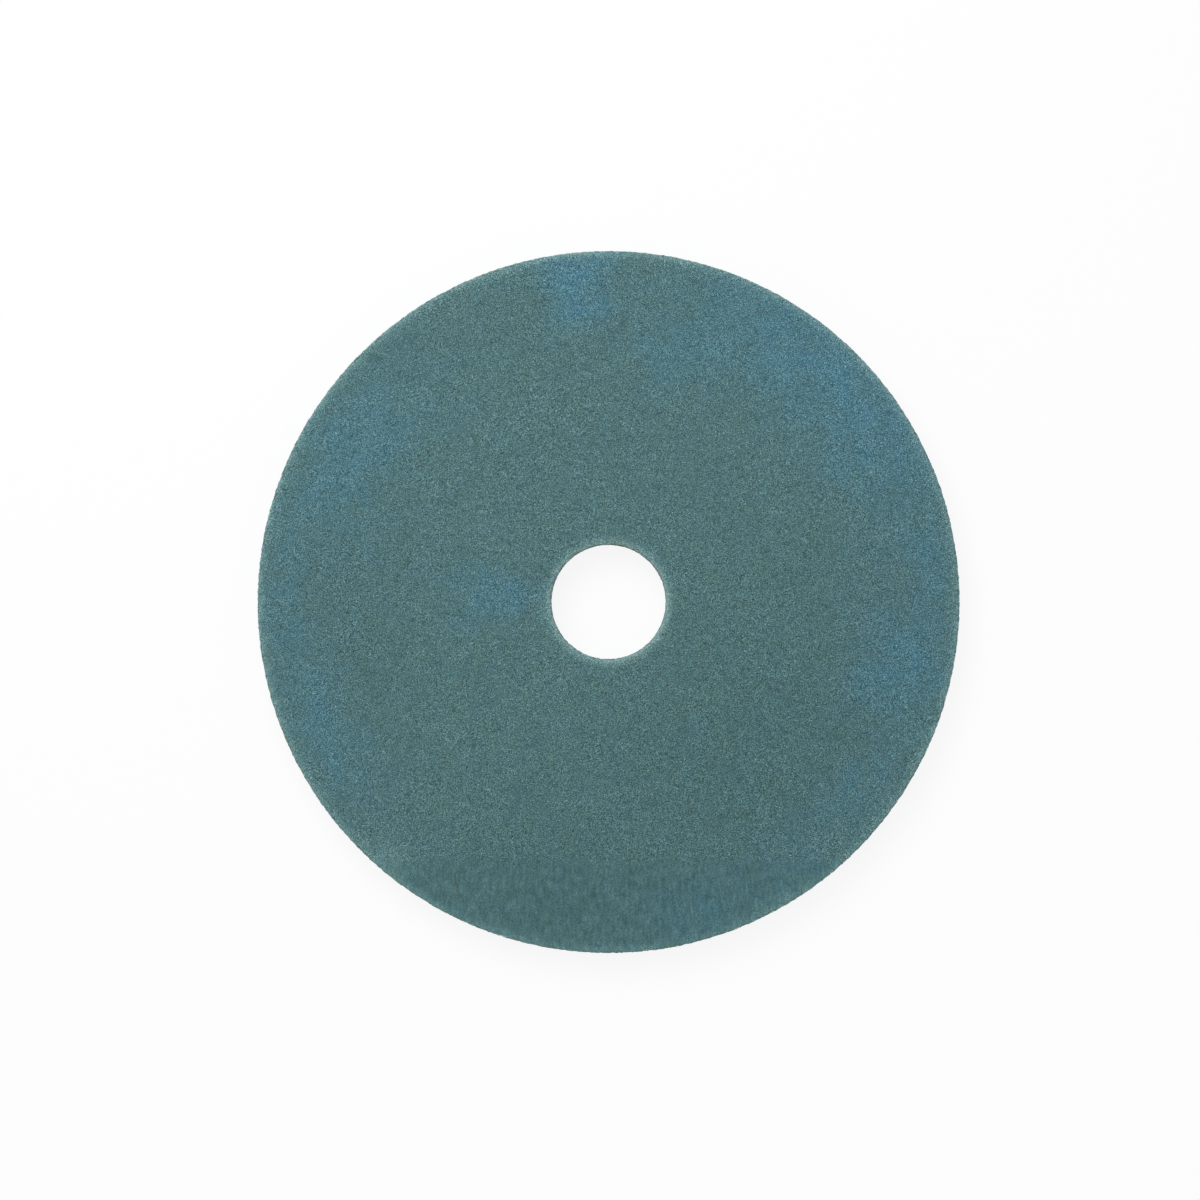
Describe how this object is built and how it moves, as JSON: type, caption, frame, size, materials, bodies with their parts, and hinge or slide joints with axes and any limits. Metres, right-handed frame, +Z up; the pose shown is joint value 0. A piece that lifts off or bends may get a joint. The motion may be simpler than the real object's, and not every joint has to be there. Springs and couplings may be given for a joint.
{
  "type": "floor polishing pad",
  "caption": "Round pad of nonwoven fibre mat with an open centre hole, driven by a floor machine to scrub or polish hard floors.",
  "frame": {"origin": "centre of the underside, on the axis of the pad and of its centre hole", "axes": "+Z up out of the upper face, along the pad's axis; X and Y lie in the pad, which is round, so they are free"},
  "size_m": [0.508, 0.508, 0.0254],
  "materials": {
    "nonwoven_fibre": "matt open web of crimped, resin-bonded synthetic fibre"
  },
  "bodies": {
    "root": {"polishing_pad": "nonwoven_fibre"}
  },
  "joints": []
}
